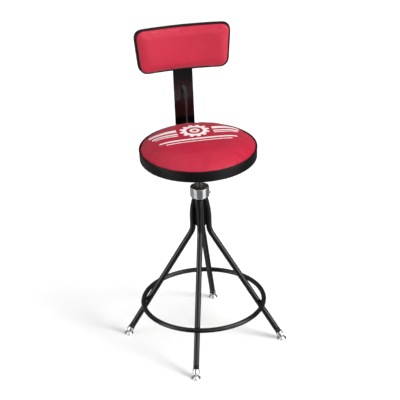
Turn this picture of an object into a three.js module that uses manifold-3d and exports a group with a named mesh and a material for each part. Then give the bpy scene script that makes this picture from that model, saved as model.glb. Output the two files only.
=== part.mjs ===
// Screw-height drafting stool with a swivel seat and a padded backrest.
// Millimetres, +Z up. The floor is Z = 0, the swivel axis is X = Y = 0, and the sitter faces -Y.

import * as THREE from 'three';
import { mergeVertices } from 'three/addons/utils/BufferGeometryUtils.js';
import Module from 'manifold-3d';

const wasm = await Module();
wasm.setup();

// ---------------------------------------------------------------- driving dimensions

const inch = 25.4;
const restGap = 0.3;                       // left between pieces that touch
const degrees = Math.PI / 180;

const legAngles = { front: -108, right: -18, back: 72, left: 162 };
const legRadius = 0.75 * inch / 2;
const legWall = 1.65;
const legLean = 30.3 * degrees;            // lower part, from the vertical
const legBendRadius = 60;
const legTopHeight = 530;
const legFlatStart = 460;                  // the tube is pressed flat from here up
const legFlatAmount = 0.57;                // share of the diameter lost at the very top

const footCircle = 263;                    // radius through the four glide balls
const ballHeight = 8.5;
const ballRadius = 5;

const hubRadius = 16.7;
const hubBore = 14.1;
const hubBottom = 430;
const hubTop = 541;

const ringTubeRadius = 0.625 * inch / 2;
const ringTubeWall = 1.5;
const ringHeight = 145.7;

const collarBottom = 535;
const collarTop = 571;
const collarRadius = 31.3;
const lockAngle = -10.5;                   // where the lock screw points, about Z
const lockHeight = 548.7;
const lockRadius = 5 / 16 * inch / 2;

const spindleRadius = inch / 2;
const spindleBottom = 438;
const spindleShoulder = 637;
const pivotRadius = 8;

const plateThickness = 5;
const seatBase = 674.5;                    // top face of the swivel plate and of the back bar
const boardThickness = 13;
const seatRadius = 190;
const seamHeight = 710;
const seatCrown = 37;
const crownFullness = 4.2;                 // higher keeps the top flat nearer to the edge
const skin = 1.4;                          // vinyl with its backing

const barWidth = 65;
const barFrontEnd = 66;
const barBendStart = 193;
const barBendRadius = 28;
const barLean = 2.5 * degrees;
const barTopHeight = 1036;

const padHeight = 152;
const padTopWidth = 330;
const padBottomWidth = 303;
const padCornerRadius = 34;
const padDepth = 19;                       // depth of the black band round its edge
const padCrown = 3;                        // the cushion's mean rise above the band
const padCurve = 730;                      // radius that hugs the sitter's back
const padCentreHeight = 972;

const boltRadius = 3.1;
const boltHole = 3.6;
const teeBarrel = 4.4;
const teeHole = 4.8;

// ---------------------------------------------------------------- colours

const paints = {
  black: { color: 0x0b0b0c, roughness: 0.22, metalness: 0.1 },
  chrome: { color: 0xd6d8dc, roughness: 0.08, metalness: 1 },
  zinc: { color: 0xb4b6ba, roughness: 0.35, metalness: 1 },
  oiled: { color: 0x17181a, roughness: 0.3, metalness: 0.8 },
  brass: { color: 0xb5914a, roughness: 0.35, metalness: 1 },
  red: { color: 0xb80d2c, roughness: 0.42, metalness: 0 },
  blackVinyl: { color: 0x101012, roughness: 0.45, metalness: 0 },
  plywood: { color: 0xb98f5c, roughness: 0.8, metalness: 0 },
  foam: { color: 0xe7dcb5, roughness: 0.95, metalness: 0 },
};

// ---------------------------------------------------------------- solid helpers

function toSolid(geometry) {
  const bare = geometry.clone();
  bare.deleteAttribute('normal');
  bare.deleteAttribute('uv');
  const merged = mergeVertices(bare, 1e-4);
  return new wasm.Manifold(new wasm.Mesh({
    numProp: 3,
    vertProperties: new Float32Array(merged.attributes.position.array),
    triVerts: new Uint32Array(merged.index.array),
  }));
}

function toGeometry(solid) {
  const mesh = solid.getMesh();
  const geometry = new THREE.BufferGeometry();
  geometry.setAttribute('position', new THREE.BufferAttribute(new Float32Array(mesh.vertProperties), 3));
  geometry.setIndex(new THREE.BufferAttribute(new Uint32Array(mesh.triVerts), 1));
  return geometry;
}

function cut(geometry, tools) {
  return toGeometry(tools.reduce((solid, tool) => solid.subtract(toSolid(tool)), toSolid(geometry)));
}

function join(geometries) {
  return toGeometry(geometries.map(toSolid).reduce((whole, piece) => whole.add(piece)));
}

function intersect(first, second) {
  return toGeometry(toSolid(first).intersect(toSolid(second)));
}

// A body of revolution about Z from [radius, height] pairs.
function turned(profile, segments = 28) {
  const points = profile.map(([radius, height]) => new THREE.Vector2(radius, height));
  return new THREE.LatheGeometry(points, segments).rotateX(Math.PI / 2);
}

// A body of revolution whose profile closes on itself, such as a bush or a tube.
function turnedRing(profile, segments = 28) {
  return turned([...profile, profile[0]], segments);
}

// A rod along Z between two heights, standing at x, y.
function rod(radius, bottom, top, x = 0, y = 0, segments = 16) {
  const geometry = new THREE.CylinderGeometry(radius, radius, top - bottom, segments);
  return geometry.rotateX(Math.PI / 2).translate(x, y, (top + bottom) / 2);
}

// ---------------------------------------------------------------- bent tubes and bars

// A path through listed stations, with one extrusion step between neighbours.
class StationPath extends THREE.Curve {
  constructor(stations) {
    super();
    this.stations = stations;
  }

  getPoint(t) {
    const last = this.stations.length - 1;
    const index = Math.min(Math.floor(t * last), last - 1);
    return this.stations[index].clone().lerp(this.stations[index + 1], t * last - index);
  }

  getPointAt(t) {
    return this.getPoint(t);
  }

  getTangentAt(t) {
    const last = this.stations.length - 1;
    const index = Math.round(t * last);
    const before = this.stations[Math.max(index - 1, 0)];
    const here = this.stations[index];
    const after = this.stations[Math.min(index + 1, last)];
    const arriving = here.clone().sub(before).normalize();
    const leaving = after.clone().sub(here).normalize();
    return arriving.add(leaving).normalize();
  }
}

// Points along an arc that rounds the corner between two straight runs.
function roundedCorner(start, corner, end, radius, steps) {
  const back = start.clone().sub(corner).normalize();
  const ahead = end.clone().sub(corner).normalize();
  const halfAngle = back.angleTo(ahead) / 2;
  const bisector = back.clone().add(ahead).normalize();
  const centre = corner.clone().addScaledVector(bisector, radius / Math.sin(halfAngle));
  const first = corner.clone().addScaledVector(back, radius / Math.tan(halfAngle)).sub(centre);
  const axis = first.clone().cross(bisector.clone().negate()).normalize();
  const turn = Math.PI - 2 * halfAngle;
  const points = [];
  for (let step = 0; step <= steps; step += 1) {
    points.push(first.clone().applyAxisAngle(axis, turn * step / steps).add(centre));
  }
  return points;
}

function sweep(section, stations, curveSegments = 6) {
  const extrudePath = new StationPath(stations);
  const steps = stations.length - 1;
  return new THREE.ExtrudeGeometry(section, { steps, extrudePath, curveSegments, bevelEnabled: false });
}

function pipeSection(radius, wall) {
  const section = new THREE.Shape().absarc(0, 0, radius, 0, 2 * Math.PI);
  section.holes.push(new THREE.Path().absarc(0, 0, radius - wall, 0, 2 * Math.PI));
  return section;
}

// ---------------------------------------------------------------- base: legs, ring and hub

const legInnerFace = hubRadius + 0.35;
const legUpright = legInnerFace + legRadius;
const legBendHeight = ballHeight + (footCircle - legUpright) / Math.tan(legLean);
const tubeEnd = 9;                         // along the leg from the ball centre

// A point on the lower leg's axis, measured up the leg from the ball centre.
function alongLeg(distance) {
  const radius = footCircle - distance * Math.sin(legLean);
  return new THREE.Vector3(radius, 0, ballHeight + distance * Math.cos(legLean));
}

// Presses the top of an upright tube flat against the hub, keeping its girth.
function pressFlat(geometry) {
  const position = geometry.attributes.position;
  for (let index = 0; index < position.count; index += 1) {
    const height = position.getZ(index);
    const share = THREE.MathUtils.clamp((height - legFlatStart) / (legTopHeight - legFlatStart), 0, 1);
    const thin = 1 - legFlatAmount * share ** 2;
    const wide = Math.sqrt(2 - thin ** 2);
    position.setX(index, legInnerFace + (position.getX(index) - legInnerFace) * thin);
    position.setY(index, position.getY(index) * wide);
  }
  return geometry;
}

function legGeometry() {
  const bottom = alongLeg(tubeEnd);
  const corner = new THREE.Vector3(legUpright, 0, legBendHeight);
  const top = new THREE.Vector3(legUpright, 0, legTopHeight);
  const stations = [bottom, ...roundedCorner(bottom, corner, top, legBendRadius, 4)];
  const pressSteps = 5;
  for (let step = 0; step <= pressSteps; step += 1) {
    const height = THREE.MathUtils.lerp(legFlatStart, legTopHeight, step / pressSteps);
    stations.push(new THREE.Vector3(legUpright, 0, height));
  }
  return pressFlat(sweep(pipeSection(legRadius, legWall), stations));
}

// The ring hugs the outside of the legs and is left open by a hair where its ends meet.
function footRingGeometry() {
  const legAtRing = legUpright + (legBendHeight - ringHeight) * Math.tan(legLean);
  const reach = (legRadius + ringTubeRadius + restGap) / Math.cos(legLean);
  const radius = legAtRing + reach;
  const seam = 0.06 * degrees;
  const steps = 40;
  const stations = [];
  for (let step = 0; step <= steps; step += 1) {
    const angle = legAngles.back * degrees + THREE.MathUtils.lerp(seam, 2 * Math.PI - seam, step / steps);
    stations.push(new THREE.Vector3(radius * Math.cos(angle), radius * Math.sin(angle), ringHeight));
  }
  return sweep(pipeSection(ringTubeRadius, ringTubeWall), stations, 5);
}

function hubGeometry() {
  return turnedRing([[hubBore, hubBottom], [hubRadius, hubBottom], [hubRadius, hubTop], [hubBore, hubTop]]);
}

// ---------------------------------------------------------------- collar, nut and lock screw

const nutSeat = 556;
const nutRadius = 28.6;
const spindleBore = spindleRadius + 0.4;
const lockBore = lockRadius + restGap;

// A rod or bore along +X at the lock screw's height.
function lockRod(radius, inner, outer, segments = 20) {
  return rod(radius, inner, outer, 0, 0, segments).rotateY(Math.PI / 2).translate(0, 0, lockHeight);
}

function collarGeometry() {
  const body = turnedRing([
    [hubRadius + restGap, collarBottom],
    [collarRadius - 3, collarBottom],
    [collarRadius - 1.2, collarBottom + 1.4],
    [collarRadius, collarBottom + 4.5],
    [collarRadius, collarTop - 1.4],
    [collarRadius - 0.9, collarTop],
    [nutRadius + restGap, collarTop],
    [nutRadius + restGap, nutSeat],
    [spindleBore, nutSeat],
    [spindleBore, hubTop + restGap],
    [hubRadius + restGap, hubTop + restGap],
  ], 32);
  return cut(body, [lockRod(lockBore, spindleRadius, collarRadius + 2)]);
}

function threadNutGeometry() {
  return turnedRing([
    [spindleBore, nutSeat + restGap],
    [nutRadius, nutSeat + restGap],
    [nutRadius, collarTop - 1.6],
    [nutRadius - 1, collarTop - 0.8],
    [spindleBore + 1, collarTop - 0.8],
    [spindleBore, collarTop - 1.8],
  ]);
}

const lockPadEnd = spindleRadius + restGap;
const lockScrewEnd = lockPadEnd + 5.4;
const lockScrewHead = collarRadius + 4.6;

function lockPadGeometry() {
  return lockRod(lockRadius - 0.3, lockPadEnd, lockScrewEnd - restGap, 16);
}

function lockScrewGeometry() {
  const socketDepth = 4;
  const socket = lockRod(2.3, lockScrewHead - socketDepth, lockScrewHead + 1, 6);
  return cut(lockRod(lockRadius, lockScrewEnd, lockScrewHead), [socket]);
}

// ---------------------------------------------------------------- feet

const ferruleBottom = 6.6;                 // all along the leg from the ball centre
const ferruleTop = 22.4;
const ferruleRadius = 11;
const ferruleFloor = 2;

// The ferrule and the stud are turned about Z with the ball centre at zero.
function ferruleGeometry() {
  return turnedRing([
    [4.3, ferruleBottom],
    [ferruleRadius - 1.6, ferruleBottom],
    [ferruleRadius, ferruleBottom + 1.6],
    [ferruleRadius, ferruleTop],
    [legRadius + restGap, ferruleTop],
    [legRadius + restGap, ferruleBottom + ferruleFloor],
    [4.3, ferruleBottom + ferruleFloor],
  ], 16);
}

function glideStudGeometry() {
  const neck = 3;
  const shank = 4;
  const shankTop = 21.5;
  const neckStart = Math.acos(neck / ballRadius);
  const profile = [];
  const ballSteps = 5;
  for (let step = 0; step <= ballSteps; step += 1) {
    const angle = THREE.MathUtils.lerp(-Math.PI / 2, neckStart, step / ballSteps);
    profile.push([ballRadius * Math.cos(angle), ballRadius * Math.sin(angle)]);
  }
  profile[0][0] = 0;
  profile.push([neck, 6.2], [shank, 6.2], [shank, shankTop], [0, shankTop]);
  return turned(profile, 12);
}

// A domed foot with an open ball socket in its top, turned about Z at the ball centre.
function glideBaseGeometry() {
  const floor = -ballHeight;
  const socketRadius = ballRadius + 0.6;
  const lip = 1;
  const lipAngle = Math.asin(lip / socketRadius);
  const profile = [
    [0, floor],
    [14.1, floor],
    [15, floor + 0.9],
    [15, floor + 2],
    [13.8, floor + 3.6],
    [10.9, floor + 6.2],
    [8.6, floor + 8.4],
    [7.4, lip],
  ];
  const socketSteps = 4;
  for (let step = 0; step <= socketSteps; step += 1) {
    const angle = THREE.MathUtils.lerp(lipAngle, -Math.PI / 2, step / socketSteps);
    profile.push([socketRadius * Math.cos(angle), socketRadius * Math.sin(angle)]);
  }
  profile[profile.length - 1][0] = 0;
  return turned(profile, 20);
}

// ---------------------------------------------------------------- spindle and swivel bearing

const raceRadius = 30;
const raceTop = spindleShoulder + 8;
const cupBottom = raceTop + 5.4;
const plateBottom = seatBase - plateThickness;
const pivotBore = pivotRadius + 0.4;
const retainerPocket = 15.3;
const retainerBottom = plateBottom - 3.5;

function spindleGeometry() {
  const chamfer = 1.2;
  return turned([
    [0, spindleBottom],
    [spindleRadius - chamfer, spindleBottom],
    [spindleRadius, spindleBottom + chamfer],
    [spindleRadius, spindleShoulder],
    [pivotRadius, spindleShoulder],
    [pivotRadius, seatBase - 1.5],
    [0, seatBase - 1.5],
  ]);
}

function stopWasherGeometry() {
  const thickness = 4;
  const top = spindleBottom - restGap;
  return turned([[0, top - thickness], [13.5, top - thickness], [13.5, top], [0, top]]);
}

function lowerRaceGeometry() {
  return turnedRing([
    [pivotBore, spindleShoulder + restGap],
    [raceRadius - 6, spindleShoulder + restGap],
    [raceRadius, spindleShoulder + 4],
    [raceRadius, raceTop],
    [pivotBore, raceTop],
  ]);
}

function ballCageGeometry() {
  const ballCount = 10;
  const pitchRadius = 21;
  const bearingBall = 2.4;
  const middle = (raceTop + cupBottom) / 2;
  const ring = turnedRing([
    [pitchRadius - 4, middle - 0.6],
    [pitchRadius + 4, middle - 0.6],
    [pitchRadius + 4, middle + 0.6],
    [pitchRadius - 4, middle + 0.6],
  ], 24);
  const pieces = [ring];
  for (let ball = 0; ball < ballCount; ball += 1) {
    const angle = 2 * Math.PI * ball / ballCount;
    const sphere = new THREE.SphereGeometry(bearingBall, 6, 4);
    pieces.push(sphere.translate(pitchRadius * Math.cos(angle), pitchRadius * Math.sin(angle), middle));
  }
  return join(pieces);
}

function swivelCupGeometry() {
  const skirtInside = raceRadius + 1.2;
  const top = plateBottom - restGap;
  return turnedRing([
    [pivotBore, cupBottom],
    [skirtInside, cupBottom],
    [skirtInside, raceTop - 4],
    [skirtInside + 3, raceTop - 4],
    [skirtInside + 3, cupBottom + 4],
    [raceRadius - 1, top],
    [retainerPocket, top],
    [retainerPocket, retainerBottom],
    [pivotBore, retainerBottom],
  ]);
}

function retainerGeometry() {
  const flats = rod(13, retainerBottom + restGap, seatBase - 2, 0, 0, 6);
  return cut(flats, [rod(pivotBore, retainerBottom - 1, seatBase)]);
}

// ---------------------------------------------------------------- seat

const plateBolts = [[62, 40], [-62, 40], [-62, -40], [62, -40]];
const barBolts = [[0, 92], [0, 150]];
const boardBottom = seatBase + 2;
const boardTop = boardBottom + boardThickness;
const teeFlangeTop = boardTop + 1.8;

function swivelPlateGeometry() {
  const halfX = 80;
  const halfY = 60;
  const corner = 12;
  const outline = new THREE.Shape();
  outline.absarc(halfX - corner, halfY - corner, corner, 0, Math.PI / 2);
  outline.absarc(corner - halfX, halfY - corner, corner, Math.PI / 2, Math.PI);
  outline.absarc(corner - halfX, corner - halfY, corner, Math.PI, 1.5 * Math.PI);
  outline.absarc(halfX - corner, corner - halfY, corner, 1.5 * Math.PI, 2 * Math.PI);
  const settings = { depth: plateThickness, bevelEnabled: false, curveSegments: 3 };
  const plate = new THREE.ExtrudeGeometry(outline, settings).translate(0, 0, plateBottom);
  const holes = plateBolts.map(([x, y]) => rod(boltHole, plateBottom - 1, seatBase + 1, x, y, 12));
  return cut(plate, [...holes, rod(retainerPocket, plateBottom - 1, seatBase + 1)]);
}

function seatBoardGeometry() {
  const holes = [...plateBolts, ...barBolts];
  const tools = holes.map(([x, y]) => rod(teeHole, boardBottom - 1, boardTop + 1, x, y, 12));
  return cut(rod(seatRadius - 8, boardBottom, boardTop, 0, 0, 40), tools);
}

// A pan-head bolt pointing up, its head under the plate.
function seatBoltGeometry() {
  const headTop = plateBottom - restGap;
  return turned([
    [0, headTop - 4.2],
    [4, headTop - 4],
    [6.4, headTop - 2.4],
    [6.8, headTop],
    [boltRadius, headTop],
    [boltRadius, boardTop - 2],
    [0, boardTop - 2],
  ], 10);
}

// A tee nut dropped into the board from above.
function seatTeeNutGeometry() {
  const bore = boltRadius + restGap;
  return turnedRing([
    [bore, boardBottom + 3],
    [teeBarrel, boardBottom + 3],
    [teeBarrel, boardTop + restGap],
    [9.5, boardTop + restGap],
    [9.5, teeFlangeTop],
    [bore, teeFlangeTop],
  ], 10);
}

// Height of the cushion's top at a distance from the axis.
function crownHeight(radius) {
  return seamHeight + seatCrown * (1 - (radius / seatRadius) ** crownFullness);
}

function crownProfile(edge, drop) {
  const steps = 6;
  const profile = [];
  for (let step = 0; step <= steps; step += 1) {
    const radius = edge * Math.sin(Math.PI / 2 * step / steps);
    profile.push([radius, crownHeight(radius) - drop]);
  }
  return profile;
}

const coverEdge = seatRadius - 3;
const foamEdge = seatRadius - 3.4;

function seatFoamGeometry() {
  const bottom = teeFlangeTop + restGap;
  const crown = crownProfile(foamEdge, skin + restGap + 0.2);
  return turned([[0, bottom], [foamEdge, bottom], ...crown.reverse()], 40);
}

function seatCoverGeometry() {
  const top = crownProfile(coverEdge, 0);
  const under = crownProfile(coverEdge, skin);
  return turned([...under, ...top.reverse()], 40);
}

function seatBandGeometry() {
  const lip = seatBase + restGap;
  const top = seamHeight - 0.6;
  const inside = seatRadius - 1.6;
  return turnedRing([
    [seatRadius - 20, lip],
    [seatRadius - 4, lip],
    [seatRadius - 1, lip + 1.4],
    [seatRadius, lip + 4],
    [seatRadius, top],
    [inside, top],
    [inside, lip + 4.4],
    [inside - 1.2, lip + 2],
    [seatRadius - 5, lip + skin],
    [seatRadius - 20, lip + skin],
  ], 40);
}

function seatWeltGeometry() {
  const cordRadius = 1.7;
  const cord = new THREE.TorusGeometry(seatRadius - 0.6, cordRadius, 6, 40);
  return cord.translate(0, 0, seamHeight + cordRadius - 0.2);
}

// ---------------------------------------------------------------- back bar and backrest

const barMiddle = seatBase - plateThickness / 2;
const barTangent = barBendRadius * Math.tan((Math.PI / 2 - barLean) / 2);
const barCorner = new THREE.Vector3(0, barBendStart + barTangent, barMiddle);

// A point on the bar's upright middle line at a given height.
function alongBar(height) {
  return new THREE.Vector3(0, barCorner.y + (height - barMiddle) * Math.tan(barLean), height);
}

// The backrest's own frame: Z runs up the bar, and Y = 0 is the bar's front face.
const padFrame = new THREE.Group();
padFrame.position.copy(alongBar(padCentreHeight));
padFrame.position.y -= plateThickness / 2 / Math.cos(barLean);
padFrame.rotation.x = -barLean;
padFrame.updateMatrix();

const padBolts = [-32, 32];

// A rod along Y in the backrest's frame, from front to rear.
function padRod(radius, front, rear, height, segments = 12) {
  return rod(radius, front, rear, 0, 0, segments).rotateX(-Math.PI / 2).translate(0, 0, height);
}

function backBarGeometry() {
  const edge = 1.5;
  const halfThick = plateThickness / 2;
  const halfWide = barWidth / 2;
  const section = new THREE.Shape();
  section.moveTo(-halfThick, edge - halfWide);
  section.lineTo(edge - halfThick, -halfWide);
  section.lineTo(halfThick - edge, -halfWide);
  section.lineTo(halfThick, edge - halfWide);
  section.lineTo(halfThick, halfWide - edge);
  section.lineTo(halfThick - edge, halfWide);
  section.lineTo(edge - halfThick, halfWide);
  section.lineTo(-halfThick, halfWide - edge);
  const front = new THREE.Vector3(0, barFrontEnd, barMiddle);
  const top = alongBar(barTopHeight);
  const stations = [front, ...roundedCorner(front, barCorner, top, barBendRadius, 8), top];
  const bar = sweep(section, stations);
  const seatHoles = barBolts.map(([x, y]) => rod(boltHole, plateBottom - 1, seatBase + 1, x, y, 12));
  const padHoles = padBolts.map((height) => padRod(boltHole, -2, plateThickness + 2, height));
  padHoles.forEach((hole) => hole.applyMatrix4(padFrame.matrix));
  return cut(bar, [...seatHoles, ...padHoles]);
}

// The backrest's outline seen from the front, drawn in by an inset.
function padOutline(inset) {
  const halfTop = padTopWidth / 2 - inset;
  const halfBottom = padBottomWidth / 2 - inset;
  const halfHeight = padHeight / 2 - inset;
  const round = padCornerRadius - inset;
  const slope = (halfTop - halfBottom) / (2 * halfHeight) * round;
  const outline = new THREE.Shape();
  outline.moveTo(round - halfBottom, -halfHeight);
  outline.lineTo(halfBottom - round, -halfHeight);
  outline.quadraticCurveTo(halfBottom, -halfHeight, halfBottom + slope, round - halfHeight);
  outline.lineTo(halfTop - slope, halfHeight - round);
  outline.quadraticCurveTo(halfTop, halfHeight, halfTop - round, halfHeight);
  outline.lineTo(round - halfTop, halfHeight);
  outline.quadraticCurveTo(-halfTop, halfHeight, slope - halfTop, halfHeight - round);
  outline.lineTo(-halfBottom - slope, round - halfHeight);
  outline.quadraticCurveTo(-halfBottom, -halfHeight, round - halfBottom, -halfHeight);
  return outline;
}

function padPrism(inset) {
  const depth = 6 * padDepth;
  const settings = { depth, bevelEnabled: false, curveSegments: 4 };
  return new THREE.ExtrudeGeometry(padOutline(inset), settings).rotateX(Math.PI / 2).translate(0, padDepth, 0);
}

// A layer of the curved pad between two depths measured forward from the bar.
function padSlab(rear, front) {
  const outer = padCurve - rear;
  const inner = padCurve - front;
  const half = 14.5 * degrees;
  const start = Math.PI / 2 - half;
  const end = Math.PI / 2 + half;
  const plan = new THREE.Shape();
  plan.absarc(0, 0, outer, start, end);
  plan.lineTo(inner * Math.cos(end), inner * Math.sin(end));
  plan.absarc(0, 0, inner, end, start, true);
  plan.closePath();
  const settings = { depth: 2 * padHeight, bevelEnabled: false, curveSegments: 6 };
  return new THREE.ExtrudeGeometry(plan, settings).translate(0, -padCurve, -padHeight);
}

function padLayer(rear, front, inset) {
  return intersect(padSlab(rear, front), padPrism(inset));
}

const panelRear = 0.4;
const panelFront = 2.4;
const padBoardRear = panelFront + restGap;
const padBoardFront = padBoardRear + 8;
const padTeeFront = padBoardFront + 1.8;
const padFoamRear = padTeeFront + restGap;
const padFoamFront = padDepth + padCrown;
const weltDepth = 3.2;

function backrestPanelGeometry() {
  const holes = padBolts.map((height) => padRod(boltHole, -5, 2, height));
  return cut(padLayer(panelRear, panelFront, 3), holes);
}

function backrestBoardGeometry() {
  const holes = padBolts.map((height) => padRod(teeHole, -padBoardFront - 1, 0, height));
  return cut(padLayer(padBoardRear, padBoardFront, 3), holes);
}

function backrestFoamGeometry() {
  return padLayer(padFoamRear, padFoamFront, 4);
}

function backrestCoverGeometry() {
  return padLayer(padFoamFront + restGap, padFoamFront + restGap + skin, 4);
}

function backrestBandGeometry() {
  return cut(padLayer(0.8, padDepth - weltDepth - restGap, 0), [padPrism(1.8)]);
}

function backrestWeltGeometry() {
  return cut(padLayer(padDepth - weltDepth, padDepth, 0), [padPrism(3.4)]);
}

function backrestBoltGeometry() {
  const seatFace = plateThickness + restGap;
  const profile = [
    [0, 1.5 - padBoardFront],
    [boltRadius, 1.5 - padBoardFront],
    [boltRadius, seatFace],
    [7, seatFace],
    [6.4, seatFace + 2],
    [3.6, seatFace + 3.4],
    [0, seatFace + 3.8],
  ];
  return turned(profile, 10).rotateX(-Math.PI / 2);
}

function backrestTeeNutGeometry() {
  const bore = boltRadius + restGap;
  const flangeRear = padBoardFront + restGap;
  return turnedRing([
    [bore, -padTeeFront],
    [9.5, -padTeeFront],
    [9.5, -flangeRear],
    [teeBarrel, -flangeRear],
    [teeBarrel, -padBoardRear - 2],
    [bore, -padBoardRear - 2],
  ], 10).rotateX(-Math.PI / 2);
}

// ---------------------------------------------------------------- the scene graph

const stool = new THREE.Group();

function addPiece(name, geometry, paint, parent = stool) {
  const mesh = new THREE.Mesh(geometry, new THREE.MeshStandardMaterial(paints[paint]));
  mesh.name = name;
  parent.add(mesh);
  return mesh;
}

function addBase() {
  const leg = legGeometry();
  Object.entries(legAngles).forEach(([side, angle]) => {
    addPiece(`leg_${side}`, leg.clone(), 'black').rotation.z = angle * degrees;
  });
  addPiece('foot_ring', footRingGeometry(), 'black');
  addPiece('hub_tube', hubGeometry(), 'black');
  addPiece('collar', collarGeometry(), 'chrome').rotation.z = lockAngle * degrees;
  addPiece('thread_nut', threadNutGeometry(), 'oiled');
}

function addFeet() {
  Object.entries(legAngles).forEach(([side, angle]) => {
    const foot = new THREE.Group();
    foot.rotation.z = angle * degrees;
    stool.add(foot);
    const ball = new THREE.Group();
    ball.position.copy(alongLeg(0));
    foot.add(ball);
    addPiece(`ferrule_${side}`, ferruleGeometry(), 'chrome', ball).rotation.y = -legLean;
    addPiece(`glide_stud_${side}`, glideStudGeometry(), 'zinc', ball).rotation.y = -legLean;
    addPiece(`glide_base_${side}`, glideBaseGeometry(), 'chrome', ball);
  });
}

function addLock() {
  const lock = new THREE.Group();
  lock.rotation.z = lockAngle * degrees;
  stool.add(lock);
  addPiece('lock_pad', lockPadGeometry(), 'brass', lock);
  addPiece('lock_screw', lockScrewGeometry(), 'chrome', lock);
}

function addSpindle() {
  addPiece('spindle_screw', spindleGeometry(), 'oiled');
  addPiece('stop_washer', stopWasherGeometry(), 'oiled');
  addPiece('lower_race', lowerRaceGeometry(), 'oiled');
  addPiece('pivot_nut', retainerGeometry(), 'zinc');
  addPiece('ball_cage', ballCageGeometry(), 'zinc');
}

function addSeatBolts(group, places) {
  places.forEach(([x, y], index) => {
    addPiece(`${group}_bolt_${index + 1}`, seatBoltGeometry(), 'zinc').position.set(x, y, 0);
    addPiece(`${group}_tee_nut_${index + 1}`, seatTeeNutGeometry(), 'zinc').position.set(x, y, 0);
  });
}

function addSeat() {
  addPiece('swivel_cup', swivelCupGeometry(), 'black');
  addPiece('swivel_plate', swivelPlateGeometry(), 'black');
  addSeatBolts('plate', plateBolts);
  addSeatBolts('bar', barBolts);
  addPiece('seat_board', seatBoardGeometry(), 'plywood');
  addPiece('seat_foam', seatFoamGeometry(), 'foam');
  addPiece('seat_cover', seatCoverGeometry(), 'red');
  addPiece('seat_band', seatBandGeometry(), 'blackVinyl');
  addPiece('seat_welt', seatWeltGeometry(), 'blackVinyl');
}

function addBackrest() {
  addPiece('back_bar', backBarGeometry(), 'black');
  stool.add(padFrame);
  addPiece('backrest_panel', backrestPanelGeometry(), 'blackVinyl', padFrame);
  addPiece('backrest_board', backrestBoardGeometry(), 'plywood', padFrame);
  addPiece('backrest_foam', backrestFoamGeometry(), 'foam', padFrame);
  addPiece('backrest_cover', backrestCoverGeometry(), 'red', padFrame);
  addPiece('backrest_band', backrestBandGeometry(), 'blackVinyl', padFrame);
  addPiece('backrest_welt', backrestWeltGeometry(), 'blackVinyl', padFrame);
  padBolts.forEach((height, index) => {
    addPiece(`backrest_bolt_${index + 1}`, backrestBoltGeometry(), 'zinc', padFrame).position.z = height;
    addPiece(`backrest_tee_nut_${index + 1}`, backrestTeeNutGeometry(), 'zinc', padFrame).position.z = height;
  });
}

addBase();
addFeet();
addLock();
addSpindle();
addSeat();
addBackrest();

export default stool;
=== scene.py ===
"""Looks for the screw-height drafting stool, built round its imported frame. Metres, +Z up."""

from math import acos, asin, atan2, copysign, cos, dist, exp, hypot, pi, radians, sin, sqrt, tan, tau

import bmesh
import bpy
import numpy as np
from mathutils import Matrix, Vector, noise


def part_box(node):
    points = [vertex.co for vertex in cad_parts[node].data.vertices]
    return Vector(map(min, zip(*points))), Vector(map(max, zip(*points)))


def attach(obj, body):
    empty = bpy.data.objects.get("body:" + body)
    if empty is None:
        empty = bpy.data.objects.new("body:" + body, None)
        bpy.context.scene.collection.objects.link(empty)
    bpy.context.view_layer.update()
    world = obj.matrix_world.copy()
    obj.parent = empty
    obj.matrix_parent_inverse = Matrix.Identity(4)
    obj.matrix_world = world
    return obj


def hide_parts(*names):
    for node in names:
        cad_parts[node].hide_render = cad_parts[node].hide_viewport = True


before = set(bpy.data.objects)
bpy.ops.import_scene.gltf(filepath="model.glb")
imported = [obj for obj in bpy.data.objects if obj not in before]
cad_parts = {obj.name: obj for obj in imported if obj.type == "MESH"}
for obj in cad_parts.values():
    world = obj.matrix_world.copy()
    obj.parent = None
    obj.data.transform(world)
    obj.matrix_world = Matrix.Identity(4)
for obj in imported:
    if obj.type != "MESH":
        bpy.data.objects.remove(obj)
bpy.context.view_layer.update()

MM = 0.001
INCH = 25.4 * MM
SIDES = ("front", "right", "back", "left")


# ---- mesh helpers

def polar(radius, angle, height=0.0):
    """The point at a radius and an angle about Z."""
    return Vector((radius * cos(angle), radius * sin(angle), height))


def around(count):
    """Evenly spaced angles round one turn."""
    return [tau * k / count for k in range(count)]


def circle(radius, height, segments):
    return [polar(radius, angle, height) for angle in around(segments)]


def arc(radius, start, end, count):
    """Evenly spaced points on an arc, as (radius, height) pairs."""
    return [(radius * cos(a), radius * sin(a)) for a in np.linspace(start, end, count)]


def shares(count):
    return [k / count for k in range(count + 1)]


def corner_curve(before, corner, after, reach, count):
    """Points on a short curve that replaces a corner."""
    start = corner + (before - corner).normalized() * reach
    end = corner + (after - corner).normalized() * reach
    return [start * (1 - t) ** 2 + corner * 2 * t * (1 - t) + end * t ** 2 for t in shares(count)]


def clamped(value):
    return min(max(value, 0), 1)


def in_mm(profile):
    return [(r * MM, z * MM) for r, z in profile]


def shade(mesh, smooth):
    mesh.polygons.foreach_set("use_smooth", [smooth] * len(mesh.polygons))


def new_piece(name, points, faces, smooth=True):
    """A mesh object from points and faces, with its faces turned outward."""
    mesh = bpy.data.meshes.new(name)
    mesh.from_pydata([tuple(p) for p in points], [], faces)
    work = bmesh.new()
    work.from_mesh(mesh)
    bmesh.ops.remove_doubles(work, verts=work.verts, dist=1e-7)
    bmesh.ops.recalc_face_normals(work, faces=work.faces)
    work.to_mesh(mesh)
    work.free()
    piece = bpy.data.objects.new(name, mesh)
    bpy.context.scene.collection.objects.link(piece)
    shade(mesh, smooth)
    return piece


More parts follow.
